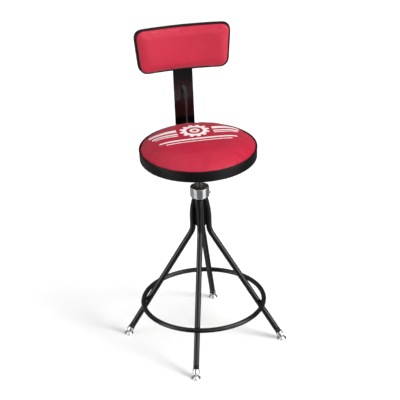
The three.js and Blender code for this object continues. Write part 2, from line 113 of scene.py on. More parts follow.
def loft(name, rings, closed=False, capped=True):
    """Joins rings of equally many points. An open loft is capped at both ends."""
    columns = len(rings[0])
    points = [p for ring in rings for p in ring]
    faces = []
    for row in range(len(rings) if closed else len(rings) - 1):
        here = row * columns
        there = (row + 1) % len(rings) * columns
        for column in range(columns):
            beside = (column + 1) % columns
            faces.append((here + column, here + beside, there + beside, there + column))
    if capped and not closed:
        last = (len(rings) - 1) * columns
        faces.append(tuple(range(columns)))
        faces.append(tuple(range(last, last + columns)))
    return new_piece(name, points, faces)


def rounded(profile, radius, closed):
    """A profile with each sharp corner replaced by a short curve."""
    out = []
    count = len(profile)
    for index, (r, z) in enumerate(profile):
        here = Vector((r, z))
        before = Vector(profile[index - 1])
        after = Vector(profile[(index + 1) % count])
        reach = min(radius, (before - here).length * 0.45, (after - here).length * 0.45)
        if reach < 1e-6 or (not closed and index in (0, count - 1)):
            out.append((r, z))
        else:
            out += [tuple(p) for p in corner_curve(before, here, after, reach, 4)]
    return out


def turned(name, profile, segments=96, rounding=0.0):
    """A body of revolution about Z. A profile that starts off the axis is closed, and makes a bush."""
    closed = profile[0][0] > 1e-6
    if rounding:
        profile = rounded(profile, rounding, closed)
    rings = [circle(max(r, 1e-6), z, segments) for r, z in profile]
    return loft(name, rings, closed=closed, capped=False)


def disc(name, radius, low, high, rounding=0.0, segments=48):
    """A solid round plate or rod about Z."""
    profile = [(0, low), (radius, low), (radius, high), (0, high)]
    return turned(name, profile, segments, rounding=rounding)


def hoop(name, radius, steps, sides, section):
    """A tube bent into a level ring. section gives its height and its own radius in one direction."""
    rings = []
    for angle in around(steps):
        out = polar(1, angle)
        height, size = section(out)
        ring = [(radius + size * cos(turn), height + size * sin(turn)) for turn in around(sides)]
        rings.append([polar(reach, angle, level) for reach, level in ring])
    return loft(name, rings, closed=True)


def hexagon(corner, angle):
    """How far out the edge of a hexagon lies in one direction."""
    return corner * cos(tau / 12) / cos(angle % (tau / 6) - tau / 12)


def hex_prism(name, corner, bottom, top, chamfer=0.5 * MM):
    """A hexagon bolt head whose corners are chamfered by a cone."""
    inner = corner * cos(tau / 12)
    levels = ((1, bottom, inner * 1.02), (1, bottom + chamfer, corner), (1, top - chamfer, corner),
              (1, top, inner * 1.02), (0.82, top, inner * 0.84))
    rings = [[polar(min(hexagon(corner, angle) * scale, limit), angle, height) for angle in around(36)]
             for scale, height, limit in levels]
    return loft(name, rings)


def place(piece, matrix):
    """Moves a piece's own points, so that its object stays at the origin."""
    piece.data.transform(matrix)
    piece.data.update()
    return piece


def points_of(mesh):
    flat = np.zeros(len(mesh.vertices) * 3)
    mesh.vertices.foreach_get("co", flat)
    return flat.reshape(-1, 3)


def reshape(piece, rule):
    """Moves every point of a piece by a rule from one place to another."""
    points = np.array([tuple(rule(Vector(p))) for p in points_of(piece.data)])
    piece.data.vertices.foreach_set("co", points.ravel())
    piece.data.update()


def join(name, pieces):
    """One object from several."""
    bpy.ops.object.select_all(action="DESELECT")
    for piece in pieces:
        piece.select_set(True)
    bpy.context.view_layer.objects.active = pieces[0]
    bpy.ops.object.join()
    whole = bpy.context.view_layer.objects.active
    whole.select_set(False)
    whole.name = name
    return whole


def soften_edges(piece, width, angle=35):
    bevel = piece.modifiers.new("edges", "BEVEL")
    bevel.width = width
    bevel.segments = 3
    bevel.limit_method = "ANGLE"
    bevel.angle_limit = radians(angle)
    bevel.harden_normals = True


def apply_modifiers(piece):
    graph = bpy.context.evaluated_depsgraph_get()
    mesh = bpy.data.meshes.new_from_object(piece.evaluated_get(graph))
    piece.modifiers.clear()
    piece.data = mesh


def about_z(angle):
    return Matrix.Rotation(angle, 4, "Z")


def centre(node):
    low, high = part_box(node)
    return (low + high) / 2


def outer_radius(node):
    """The radius of a round node about the swivel axis."""
    low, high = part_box(node)
    return (high.x - low.x) / 2


def grey(level):
    return (level, level, level)


# ---- node helpers

class Nodes:
    """Short names for adding shader nodes to a tree."""

    def __init__(self, tree):
        self.tree = tree

    def feed(self, socket, value):
        """Sets a socket to a value, or links it to an output."""
        if isinstance(value, bpy.types.NodeSocket):
            self.tree.links.new(value, socket)
        else:
            socket.default_value = value

    def add(self, kind, sockets=(), **settings):
        node = self.tree.nodes.new("ShaderNode" + kind)
        for key, value in settings.items():
            setattr(node, key, value)
        for key, value in dict(sockets).items():
            self.feed(node.inputs[key], value)
        return node

    def math(self, operation, first, second=0.0, clamp=False):
        return self.add("Math", {0: first, 1: second}, operation=operation, use_clamp=clamp).outputs["Value"]

    def plus(self, first, second):
        return self.math("ADD", first, second)

    def minus(self, first, second, clamp=False):
        return self.math("SUBTRACT", first, second, clamp)

    def times(self, first, second):
        return self.math("MULTIPLY", first, second)

    def length(self, x, y):
        return self.math("SQRT", self.plus(self.times(x, x), self.times(y, y)))


class Look(Nodes):
    """A material with one Principled shader. Its patterns follow the object's own coordinates."""

    def __init__(self, name, color, roughness, metallic=0.0, **sockets):
        self.material = bpy.data.materials.new(name)
        self.material.use_nodes = True
        super().__init__(self.material.node_tree)
        self.sockets = self.tree.nodes["Principled BSDF"].inputs
        values = {"Base Color": (*color, 1), "Roughness": roughness, "Metallic": metallic, **sockets}
        for socket, value in values.items():
            self.sockets[socket.replace("_", " ")].default_value = value
        self.where = self.add("TexCoord").outputs["Object"]

    def stretch(self, x, y, z):
        return self.add("Mapping", {"Vector": self.where, "Scale": (x, y, z)}).outputs["Vector"]

    def noise(self, scale, detail=3.0, roughness=0.5, vector=None):
        sockets = {"Vector": vector or self.where, "Scale": scale, "Detail": detail, "Roughness": roughness}
        return self.add("TexNoise", sockets).outputs["Fac"]

    def cells(self, scale, feature="F1"):
        sockets = {"Vector": self.where, "Scale": scale}
        return self.add("TexVoronoi", sockets, feature=feature).outputs["Distance"]

    def remap(self, value, low, high, to_low, to_high):
        sockets = {"Value": value, "From Min": low, "From Max": high, "To Min": to_low, "To Max": to_high}
        return self.add("MapRange", sockets).outputs["Result"]

    def mix(self, factor, first, second):
        first, second = [(*c, 1) if isinstance(c, tuple) else c for c in (first, second)]
        return self.add("Mix", {0: factor, 6: first, 7: second}, data_type="RGBA").outputs[2]

    def colour_from(self, output):
        self.feed(self.sockets["Base Color"], output)

    def roughness_from(self, output):
        self.feed(self.sockets["Roughness"], output)

    def bump(self, height, distance, strength):
        """Adds a bump layer on top of those already there."""
        normal = self.sockets["Normal"]
        layer = self.add("Bump", {"Height": height, "Distance": distance, "Strength": strength})
        if normal.is_linked:
            self.feed(layer.inputs["Normal"], normal.links[0].from_socket)
        self.feed(normal, layer.outputs["Normal"])


# ---- materials

def enamel_look():
    """Gloss black enamel: a fine orange peel, faint haze and dust, and a lighter rub along the edges."""
    look = Look("black_enamel", grey(0.006), 0.15, Specular_IOR_Level=0.55)
    look.roughness_from(look.remap(look.noise(26, 5, 0.6), 0.3, 0.7, 0.09, 0.19))
    worn = look.add("NewGeometry").outputs["Pointiness"]
    rub = look.times(look.remap(worn, 0.53, 0.62, 0.0, 1.0), look.noise(180, 4))
    dust = look.remap(look.noise(9, 6, 0.7), 0.45, 0.75, 0.0, 0.5)
    base = look.mix(dust, grey(0.001), grey(0.005))
    look.colour_from(look.mix(rub, base, grey(0.05)))
    look.bump(look.noise(620, 2), 0.00001, 0.5)
    look.bump(look.noise(90, 3), 0.00015, 0.3)
    return look


def chrome_look():
    """Plated chrome with hairline polishing marks and a little grime."""
    look = Look("chrome", (0.86, 0.87, 0.89), 0.07, 1.0)
    marks = look.noise(340, 3, 0.6, look.stretch(1, 1, 0.12))
    grime = look.noise(38, 5, 0.65)
    hairlines = look.remap(marks, 0.4, 0.7, 0.0, 0.05)
    look.roughness_from(look.plus(look.remap(grime, 0.4, 0.75, 0.05, 0.17), hairlines))
    look.colour_from(look.mix(look.remap(grime, 0.55, 0.8, 0.0, 0.5), (0.87, 0.88, 0.9), (0.6, 0.6, 0.61)))
    look.bump(marks, 0.00002, 0.35)
    return look


def zinc_look():
    """Zinc plate: a cloudy grey metal with a faint warm and blue tint."""
    look = Look("zinc_plate", (0.62, 0.63, 0.65), 0.34, 1.0)
    cloud = look.noise(210, 5, 0.65)
    tint = look.noise(60, 2)
    base = look.mix(cloud, (0.5, 0.51, 0.54), (0.74, 0.74, 0.75))
    look.colour_from(look.mix(look.remap(tint, 0.45, 0.7, 0.0, 0.35), base, (0.62, 0.58, 0.46)))
    look.roughness_from(look.remap(cloud, 0.3, 0.7, 0.26, 0.46))
    look.bump(cloud, 0.00005, 0.5)
    return look


def oiled_look():
    """Blackened, lightly oiled steel, with bright rubbed streaks."""
    look = Look("oiled_steel", (0.16, 0.16, 0.17), 0.25, 0.95)
    film = look.noise(70, 5, 0.6)
    streaks = look.noise(260, 3, 0.5, look.stretch(1, 1, 0.25))
    base = look.mix(film, (0.09, 0.09, 0.095), (0.2, 0.2, 0.21))
    look.colour_from(look.mix(look.remap(streaks, 0.5, 0.7, 0.0, 0.8), base, (0.42, 0.42, 0.43)))
    look.roughness_from(look.remap(film, 0.3, 0.7, 0.16, 0.36))
    look.bump(streaks, 0.00004, 0.4)
    return look


def brass_look():
    """Brass, tarnished in patches."""
    look = Look("brass", (0.7, 0.53, 0.25), 0.3, 1.0)
    tarnish = look.noise(300, 4)
    look.colour_from(look.mix(tarnish, (0.74, 0.57, 0.28), (0.4, 0.27, 0.12)))
    look.roughness_from(look.remap(tarnish, 0.3, 0.7, 0.22, 0.45))
    return look


def vinyl_look(name, deep, light, roughness, sheen, gloss, print_mask=None):
    """Upholstery vinyl: pebbled, creased grain, a soft sheen, uneven colour and painted shade darkening the
    creases.
    """
    look = Look(name, light, roughness, Sheen_Weight=sheen, Sheen_Roughness=0.45, Specular_IOR_Level=gloss)
    look.sockets["Sheen Tint"].default_value = (1, 0.75, 0.8, 1)
    pebbles = look.cells(760)
    creases = look.remap(look.cells(430, "DISTANCE_TO_EDGE"), 0.0, 0.12, 0.0, 1.0)
    look.bump(look.noise(22, 3), 0.0009, 0.1)
    look.bump(pebbles, 0.00012, 0.35)
    look.bump(creases, 0.00009, 0.4)
    look.bump(look.noise(2300, 2), 0.00003, 0.2)
    base = look.mix(look.remap(look.noise(7, 4, 0.6), 0.3, 0.7, 0.0, 1.0), deep, light)
    # Painted shade: the colour is darkened in the grain's creases.
    painted_crease_shade = look.times(look.minus(1.0, creases, clamp=True), 0.35)
    base = look.mix(painted_crease_shade, base, tuple(c * 0.45 for c in deep))
    if print_mask:
        base = look.mix(print_mask(look), base, (0.82, 0.8, 0.78))
    look.colour_from(base)
    patches = look.remap(look.noise(16, 4), 0.3, 0.7, -0.05, 0.06)
    look.roughness_from(look.plus(look.remap(pebbles, 0.0, 0.6, roughness - 0.04, roughness + 0.08), patches))
    return look


def plywood_look():
    """Birch plywood: stretched face grain with darker plies along the edge."""
    look = Look("plywood", (0.55, 0.38, 0.2), 0.68)
    grain = look.noise(95, 6, 0.65, look.stretch(1, 0.09, 1))
    rays = look.noise(420, 3, 0.6, look.stretch(1, 0.05, 1))
    bands = {"Vector": look.where, "Scale": 120, "Distortion": 0.6}
    plies = look.add("TexWave", bands, wave_type="BANDS", bands_direction="Z")
    base = look.mix(grain, (0.42, 0.27, 0.13), (0.68, 0.5, 0.3))
    base = look.mix(look.times(rays, 0.35), base, (0.3, 0.18, 0.08))
    look.colour_from(look.mix(look.times(plies.outputs["Fac"], 0.3), base, (0.3, 0.19, 0.1)))
    look.roughness_from(look.remap(grain, 0.3, 0.7, 0.58, 0.8))
    look.bump(grain, 0.0003, 0.4)
    look.bump(rays, 0.00015, 0.4)
    return look


def thread_look(name, level):
    """Twisted sewing thread, for stitches."""
    look = Look(name, grey(level), 0.7, Sheen_Weight=0.3)
    twist = look.noise(2600, 2, 0.5, look.stretch(1, 1, 3))
    look.colour_from(look.mix(twist, grey(level * 0.6), grey(level)))
    look.bump(twist, 0.0001, 0.6)
    return look


def floor_look():
    look = Look("studio_floor", grey(0.9), 0.75, Specular_IOR_Level=0.2)
    look.colour_from(look.mix(look.noise(2.5, 4), grey(0.92), grey(0.94)))
    return look


PRINT_SCALE = 1.22
PRINT_BACK = 0.052
PRINT_SOFTNESS = 0.0004


def emblem_mask(look):
    """A plain cog between stripes, with two lines below, printed on the seat: 1 where the ink is."""
    split = look.add("SeparateXYZ", {"Vector": look.where}).outputs
    x = look.math("DIVIDE", split["X"], PRINT_SCALE)
    y = look.math("DIVIDE", look.minus(split["Y"], PRINT_BACK), PRINT_SCALE)
    radius = look.length(x, y)
    teeth = look.math("SINE", look.times(look.math("ARCTAN2", y, x), 12.0))
    rim = look.plus(0.0365, look.remap(teeth, -0.25, 0.25, -0.0035, 0.0035))

    def inside(value, limit):
        return look.remap(look.minus(limit, value), -PRINT_SOFTNESS, PRINT_SOFTNESS, 0.0, 1.0)

    def ring(outer, inner):
        return look.times(inside(radius, outer), look.minus(1.0, inside(radius, inner)))

    def stripe(offset, half, reach):
        away = look.math("ABSOLUTE", look.minus(y, offset))
        return look.times(inside(away, half), inside(side, reach))

    side = look.math("ABSOLUTE", x)
    clear_of_cog = look.minus(1.0, inside(side, 0.048))
    ink = look.math("MAXIMUM", ring(rim, 0.0225), ring(0.0135, 0.0065))
    for offset, half, reach in ((0.010, 0.0075, 0.122), (-0.011, 0.0035, 0.116), (-0.022, 0.0022, 0.110)):
        ink = look.math("MAXIMUM", ink, look.times(stripe(offset, half, reach), clear_of_cog))
    for offset, half, reach in ((-0.052, 0.0035, 0.104), (-0.066, 0.0018, 0.088)):
        ink = look.math("MAXIMUM", ink, stripe(offset, half, reach))
    worn = look.remap(look.noise(420, 3), 0.2, 0.34, 0.55, 0.95)
    return look.times(ink, worn)


RED = ((0.38, 0.005, 0.027), (0.44, 0.008, 0.036))
BLACK = (grey(0.001), grey(0.004))

# Each look with the slot it fills.
LOOKS = {
    "enamel": (enamel_look(), "black_enamel"),
    "chrome": (chrome_look(), "chrome"),
    "zinc": (zinc_look(), "zinc"),
    "oiled": (oiled_look(), "oiled_steel"),
    "brass": (brass_look(), "brass"),
    "red": (vinyl_look("red_vinyl", *RED, 0.32, 0.22, 0.5), "red_vinyl"),
    "seat_red": (vinyl_look("red_vinyl_printed", *RED, 0.32, 0.05, 0.42, emblem_mask), "red_vinyl"),
    "black_vinyl": (vinyl_look("black_vinyl", *BLACK, 0.28, 0.0, 0.27), "black_vinyl"),
    "plywood": (plywood_look(), "plywood"),
    "black_thread": (thread_look("black_thread", 0.03), "black_vinyl"),
}


def paint(mesh, look):
    mesh.materials.clear()
    mesh.materials.append(look.material)


def dress(piece, name, body, *nodes):
    """Gives a piece its material and its body, and hides the CAD nodes it stands for."""
    look, slot = LOOKS[name]
    paint(piece.data, look)
    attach(piece, body)
    if nodes:
        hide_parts(*nodes)


def coat_in_zinc(node):
    """A CAD node that keeps its own shape and gets the detailed zinc."""
    paint(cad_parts[node].data, LOOKS["zinc"][0])


# ---- legs, hub and foot ring

HUB_RADIUS = outer_radius("hub_tube")
HUB_FACE = HUB_RADIUS + 0.2 * MM
LEG_RADIUS = 0.75 * INCH / 2
LEG_AXIS = HUB_FACE + LEG_RADIUS
LEG_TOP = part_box("leg_front")[1].z
LEG_LEAN = radians(30.3)
LEG_BEND = 60 * MM
LEG_END = 9 * MM
FOOT_CIRCLE = centre("glide_base_front").xy.length
BALL_HEIGHT = 8.5 * MM
BEND_HEIGHT = BALL_HEIGHT + (FOOT_CIRCLE - LEG_AXIS) / tan(LEG_LEAN)
FLAT_START = LEG_TOP - 70 * MM
FLATTENED = 0.57
SQUARED = 0.35


def leg_angle(side):
    """Where a leg stands about Z, from its foot."""
    foot = centre(f"glide_base_{side}")
    return atan2(foot.y, foot.x)


def leg_line():
    """Stations down a leg's middle line as (radius from the axis, height, lean of the tube)."""
    stations = [(LEG_AXIS, LEG_TOP + (FLAT_START - LEG_TOP) * t, 0.0) for t in shares(14)]
    start = BEND_HEIGHT + LEG_BEND * tan(LEG_LEAN / 2)
    for turn in [LEG_LEAN * t for t in shares(10)]:
        out = LEG_AXIS + LEG_BEND * (1 - cos(turn))
        stations.append((out, start - LEG_BEND * sin(turn), turn))
    knee = Vector(stations[-1][:2])
    foot = Vector((FOOT_CIRCLE - LEG_END * sin(LEG_LEAN), BALL_HEIGHT + LEG_END * cos(LEG_LEAN)))
    stations += [(*knee.lerp(foot, t), LEG_LEAN) for t in shares(12)[1:]]
    return stations


def pressed(height):
    """How far a leg is pressed flat at a height, and its thickness and width there, all as shares."""
    share = clamped((height - FLAT_START) / (LEG_TOP - FLAT_START))
    thin = 1 - FLATTENED * share ** 2
    return share, thin, sqrt(2 - thin ** 2)


def leg_ring(out, height, lean):
    """One cross-section of the leg: round below, pressed flat towards the top."""
    share, thin, wide = pressed(height)
    ring = []
    for angle in around(40):
        across = LEG_RADIUS * copysign(abs(cos(angle)) ** (1 - SQUARED * share), cos(angle))
        radial = HUB_FACE + (out + across * cos(lean) - HUB_FACE) * thin
        ring.append(Vector((radial, LEG_RADIUS * sin(angle) * wide, height + across * sin(lean))))
    return ring


def make_leg(side):
    rings = [leg_ring(*station) for station in leg_line()]
    top = rings[0]
    middle = sum(top, Vector()) / len(top)
    crimp = [[middle + (p - middle) * share + Vector((0, 0, rise)) for p in top]
             for share, rise in ((0.72, -0.2 * MM), (0.93, 0.9 * MM))]
    leg = place(loft(f"leg_tube_{side}", crimp + rings), about_z(leg_angle(side)))
    dress(leg, "enamel", "base", f"leg_{side}")


def bead(path, radius, seed=0):
    """A rippled rod laid along a short path: a weld, a stitch or a wire."""
    rings = []
    count = len(path)
    for index, point in enumerate(path):
        ahead = (path[min(index + 1, count - 1)] - path[max(index - 1, 0)]).normalized()
        side = ahead.orthogonal().normalized()
        other = ahead.cross(side)
        taper = sin(pi * (index + 0.5) / count) ** 0.35
        size = radius * taper * (1 + 0.10 * sin(index * 1.9 + seed))
        rings.append([point + (side * cos(turn) + other * sin(turn)) * size for turn in around(10)])
    return loft("bead", rings)


def dress_welds(name, side, beads):
    dress(place(join(f"{name}_{side}", beads), about_z(leg_angle(side))), "enamel", "base")


def ring_welds(side):
    """The beads above and below the place where the foot ring crosses a leg."""
    low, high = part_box("foot_ring")
    tube = (high.z - low.z) / 2
    outward = Vector((cos(LEG_LEAN), 0, sin(LEG_LEAN)))
    down = Vector((sin(LEG_LEAN), 0, -cos(LEG_LEAN)))
    contact = Vector((outer_radius("foot_ring") - tube, 0, (low.z + high.z) / 2)) - outward * tube
    beads = []
    for sign in (-1, 1):
        path = []
        for t in [2 * share - 1 for share in shares(16)]:
            hug = down * sign * (4.6 * MM - 1.6 * MM * abs(t))
            sink = outward * (0.9 * MM - 2.4 * MM * t * t)
            path.append(contact + Vector((0, 6.5 * MM * t, 0)) + hug + sink)
        beads.append(bead(path, 2.3 * MM, seed=sign))
    dress_welds("ring_weld", side, beads)


def hub_welds(side):
    """Fillets along both edges of a leg's flattened top, and across its end."""
    beads = []
    for sign in (-1, 1):
        path = []
        for t in shares(24):
            height = LEG_TOP - 34 * MM * t
            across = LEG_RADIUS * pressed(height)[2] * (0.80 - 0.12 * t)
            path.append(Vector((HUB_RADIUS + 1.0 * MM, sign * across, height)))
        beads.append(bead(path, 2.2 * MM, seed=sign))
    path = [Vector((HUB_RADIUS + 1.4 * MM, 10.5 * MM * (k - 10) / 10, LEG_TOP + 0.6 * MM)) for k in range(21)]
    beads.append(bead(path, 2.0 * MM, seed=2))
    dress_welds("hub_weld", side, beads)


def make_foot_ring():
    low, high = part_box("foot_ring")
    tube = (high.z - low.z) / 2
    middle = (high.z + low.z) / 2
    ring = hoop("foot_ring_tube", outer_radius("foot_ring") - tube, 180, 28, lambda out: (middle, tube))
    dress(ring, "enamel", "base", "foot_ring")


def make_hub():
    low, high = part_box("hub_tube")
    bore = 14.1 * MM
    profile = [(bore, low.z), (HUB_RADIUS, low.z), (HUB_RADIUS, high.z), (bore, high.z)]
    dress(turned("hub_sleeve", profile, 72, rounding=0.8 * MM), "enamel", "base", "hub_tube")


def make_base():
    for side in SIDES:
        make_leg(side)
        ring_welds(side)
        hub_welds(side)
    make_foot_ring()
    make_hub()


# ---- collar, nut and lock screw

SPINDLE_BORE = 13.1 * MM


def make_collar():
    low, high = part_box("collar")
    bottom, top = low.z, high.z
    outer = (high.y - low.y) / 2
    rim = outer - 2.4 * MM
    inner = HUB_RADIUS + 0.3 * MM
    nut_seat = top - 15 * MM
    hub_seat = bottom + 6.3 * MM
    profile = [
        (inner, bottom), (outer - 3 * MM, bottom), (outer - 1.2 * MM, bottom + 1.4 * MM),
        (outer, bottom + 4.5 * MM), (outer, top - 0.9 * MM), (outer - 0.9 * MM, top), (rim, top),
        (rim, nut_seat), (SPINDLE_BORE, nut_seat), (SPINDLE_BORE, hub_seat), (inner, hub_seat),
    ]
    dress(turned("collar_shell", profile, 128, rounding=0.7 * MM), "chrome", "base", "collar")


def make_thread_nut():
    low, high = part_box("thread_nut")
    outer = outer_radius("thread_nut")
    profile = [(SPINDLE_BORE, low.z), (outer, low.z), (outer, high.z - 0.8 * MM), (outer - 1 * MM, high.z),
               (SPINDLE_BORE + 1.4 * MM, high.z), (SPINDLE_BORE, high.z - 1.4 * MM)]
    dress(turned("nut_insert", profile, rounding=0.4 * MM), "oiled", "base", "thread_nut")


def along_lock(piece):
    """Lays a piece that was built along Z on the lock screw's axis."""
    middle = centre("lock_screw")
    turn = about_z(atan2(middle.y, middle.x)) @ Matrix.Rotation(pi / 2, 4, "Y")
    return place(piece, Matrix.Translation((0, 0, middle.z)) @ turn)


def lock_span(node):
    """How far from the swivel axis the two ends of a piece on the lock's axis are."""
    axis = centre("lock_screw").xy.normalized()
    reach = [v.co.xy.dot(axis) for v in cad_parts[node].data.vertices]
    return min(reach), max(reach)


def make_lock():
    """The set screw, with its thread and hexagon socket, and the brass pad in front of it."""
    inner, outer = lock_span("lock_screw")
    radius = 5 / 32 * INCH
    pitch = INCH / 18
    rows_per_turn = 10
    angles = around(24)
    rings = []
    for row in range(int((outer - 1.2 * MM - inner) / pitch * rows_per_turn) + 1):
        turns = row / rows_per_turn
        waves = [abs((turns - angle / tau) % 1 * 2 - 1) for angle in angles]
        rings.append([polar(radius - 0.75 * MM * wave, angle, inner + turns * pitch)
                      for wave, angle in zip(waves, angles)])
    rings += [circle(radius - 0.9 * MM, outer, 24), circle(2.6 * MM, outer, 24)]
    for depth in (outer, outer - 3.5 * MM):
        rings.append([polar(hexagon(2.3 * MM, angle), angle, depth) for angle in angles])
    dress(along_lock(loft("set_screw", rings)), "chrome", "lock_knob", "lock_screw")
    low, high = lock_span("lock_pad")
    profile = [(0, low), (3.2 * MM, low), (3.6 * MM, low + 0.5 * MM), (3.6 * MM, high), (0, high)]
    dress(along_lock(turned("thread_pad", profile, 32)), "brass", "lock_slider", "lock_pad")


# ---- feet

def make_foot(side):
    """A chrome ferrule and a ball stud in the leg's end, and the domed glide that tilts on the ball."""
    upright = Matrix.Translation(polar(FOOT_CIRCLE, leg_angle(side), BALL_HEIGHT)) @ about_z(leg_angle(side))
    leaning = upright @ Matrix.Rotation(-LEG_LEAN, 4, "Y")
    bottom, top, outer = 6.6, 22.4, 11.0
    hole, inner = 4.3, LEG_RADIUS / MM + 0.3
    ferrule = in_mm([
        (hole, bottom), (outer - 1.8, bottom), (outer - 0.4, bottom + 0.9), (outer, bottom + 2.2),
        (outer, top - 3.4), (outer - 0.35, top - 3.0), (outer - 0.35, top - 2.4), (outer, top - 2.0),
        (outer, top - 0.6), (outer - 0.5, top), (inner, top), (inner, bottom + 2), (hole, bottom + 2),
    ])
    cap = turned(f"leg_cap_{side}", ferrule, 64, rounding=0.5 * MM)
    dress(place(cap, leaning), "chrome", "base", f"ferrule_{side}")

    ball = arc(5, -pi / 2, acos(0.6), 14)
    stem = in_mm(ball + [(3, 4.6), (3, 6.2), (4, 6.2), (4, 21.5), (0, 21.5)])
    stud = turned(f"ball_stud_{side}", stem, 40, rounding=0.2 * MM)
    dress(place(stud, leaning), "zinc", "base", f"glide_stud_{side}")

    floor = -BALL_HEIGHT / MM
    dome = [(0, 0), (14.0, 0), (14.9, 0.8), (15, 2.0), (14.5, 3.1), (13.2, 4.3), (11.6, 5.8), (9.9, 7.3),
            (8.6, 8.6), (7.6, 9.5), (6.5, 9.6)]
    dome = [(r, floor + z) for r, z in dome]
    socket = arc(5.6, asin(1 / 5.6), -pi / 2, 12)
    foot = turned(f"glide_dome_{side}", in_mm(dome + socket), 80, rounding=0.5 * MM)
    dress(place(foot, upright), "chrome", f"glide_{side}", f"glide_base_{side}")


# ---- spindle and swivel bearing

def make_spindle():
    """The height screw with a real one-start trapezoidal thread, and the stop at its lower end."""
    low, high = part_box("spindle_screw")
    major = outer_radius("spindle_screw")
    pitch = 6.35 * MM
    depth = 2.4 * MM
    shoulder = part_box("lower_race")[0].z - 0.3 * MM
    top = shoulder - 9 * MM
    crest, slope = 0.36, 0.28
    segments = 48
    rows = int((top - low.z) / pitch * 14)
    rings = []
    for row in range(rows + 1):
        rise = (top - low.z) * row / rows
        fade = clamped(min(rise / (1.5 * pitch), (top - low.z - rise) / pitch))
        entry = 0.8 * MM * (1 - clamped(rise / (1.2 * MM)))
        ring = []
        for k, angle in enumerate(around(segments)):
            phase = ((low.z + rise) / pitch - k / segments) % 1
            flank = clamped((abs(phase * 2 - 1) - crest) / slope)
            ring.append(polar(major - depth * flank * fade - entry, angle, low.z + rise))
        rings.append(ring)
    pivot = 8 * MM
    end = [(major, top + 0.5 * MM), (major, shoulder - 0.6 * MM), (major - 0.6 * MM, shoulder),
           (pivot, shoulder), (pivot, high.z - 0.8 * MM), (pivot - 0.8 * MM, high.z)]
    rings += [circle(radius, height, segments) for radius, height in end]
    dress(loft("height_screw", rings), "oiled", "spindle", "spindle_screw")
    low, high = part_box("stop_washer")
    washer = disc("end_washer", 13.5 * MM, low.z, high.z, 0.6 * MM, 64)
    head = hex_prism("end_bolt", 7.5 * MM, low.z - 4.5 * MM, low.z + 0.2 * MM)
    dress(join("end_stop", [washer, head]), "zinc", "spindle", "stop_washer")


def make_bearing():
    """The lower race, the caged balls and the cup that turns on them."""
    low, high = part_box("lower_race")
    outer = outer_radius("lower_race")
    bore = 8.4 * MM
    profile = [(bore, low.z), (outer - 6 * MM, low.z), (outer, low.z + 3.7 * MM), (outer, high.z),
               (bore, high.z)]
    dress(turned("race_ring", profile, rounding=0.6 * MM), "oiled", "spindle", "lower_race")

    low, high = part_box("ball_cage")
    middle = (low.z + high.z) / 2
    ball = (high.z - low.z) / 2
    pitch_radius = outer_radius("ball_cage") - 4 * MM
    inside, outside = pitch_radius - 4 * MM, pitch_radius + 4 * MM
    under, over = middle - 0.6 * MM, middle + 0.6 * MM
    pieces = [turned("cage_ring", [(inside, under), (outside, under), (outside, over), (inside, over)], 72)]
    profile = [(r, middle + z) for r, z in arc(ball, -pi / 2, pi / 2, 11)]
    for angle in around(10):
        sphere = turned("cage_ball", profile, 16)
        pieces.append(place(sphere, Matrix.Translation(polar(pitch_radius, angle))))
    dress(join("caged_balls", pieces), "zinc", "carriage", "ball_cage")

    cup_low, cup_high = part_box("swivel_cup")
    outer = outer_radius("swivel_cup")
    pocket = 15.3 * MM
    roof = high.z + 0.3 * MM
    ledge = cup_high.z - 3.2 * MM
    profile = [(bore, roof), (outer - 3 * MM, roof), (outer - 3 * MM, cup_low.z), (outer, cup_low.z),
               (outer, roof + 4 * MM), (outer - 5.2 * MM, cup_high.z), (pocket, cup_high.z), (pocket, ledge),
               (bore, ledge)]
    dress(turned("bearing_cup", profile, rounding=0.9 * MM), "enamel", "seat", "swivel_cup")
    coat_in_zinc("pivot_nut")


# ---- cushions

CLOTH_PRESSURE = 4.0
CLOTH_SLACK = 0.006
CLOTH_FRAMES = 20
BEFORE_SWELLING = 0.86


def cushion_form(name, outline, thickness, rise):
    """A closed pad: a flat back at -thickness, and a crown that follows a rule of place."""
    steps = [max(sin(pi / 2 * k / 22), 1e-4) for k in range(23)]
    layers = [[(u * share, v * share) for u, v in outline] for share in steps]
    rings = [[Vector((u, v, rise(u, v))) for u, v in layer] for layer in layers]
    rings += [[Vector((u, v, -thickness)) for u, v in layer] for layer in reversed(layers)]
    return loft(name, rings, capped=False)


def swell(piece, cap):
    """Blows the pad up as cloth with its rim and back held. No point moves further than cap."""
    start = points_of(piece.data)
    group = piece.vertex_groups.new(name="held")
    group.add([int(k) for k in np.nonzero(start[:, 2] < 0.4 * MM)[0]], 1.0, "REPLACE")
    cloth = piece.modifiers.new("cloth", "CLOTH")
    settings = cloth.settings
    settings.quality = 6
    settings.mass = 0.25
    settings.tension_stiffness = 18
    settings.compression_stiffness = 12
    settings.shear_stiffness = 8
    settings.bending_stiffness = 0.6
    settings.use_pressure = True
    settings.uniform_pressure_force = CLOTH_PRESSURE
    settings.shrink_min = -CLOTH_SLACK
    settings.effector_weights.gravity = 0
    settings.vertex_group_mass = "held"
    cloth.collision_settings.use_collision = False
    scene = bpy.context.scene
    for number in range(1, CLOTH_FRAMES + 1):
        scene.frame_set(number)
    graph = bpy.context.evaluated_depsgraph_get()
    moved = points_of(piece.evaluated_get(graph).data)
    piece.modifiers.remove(cloth)
    piece.vertex_groups.remove(group)
    scene.frame_set(1)
    step = moved - start
    length = np.linalg.norm(step, axis=1, keepdims=True)
    step *= np.minimum(1, cap / np.maximum(length, 1e-9))
    return start + step


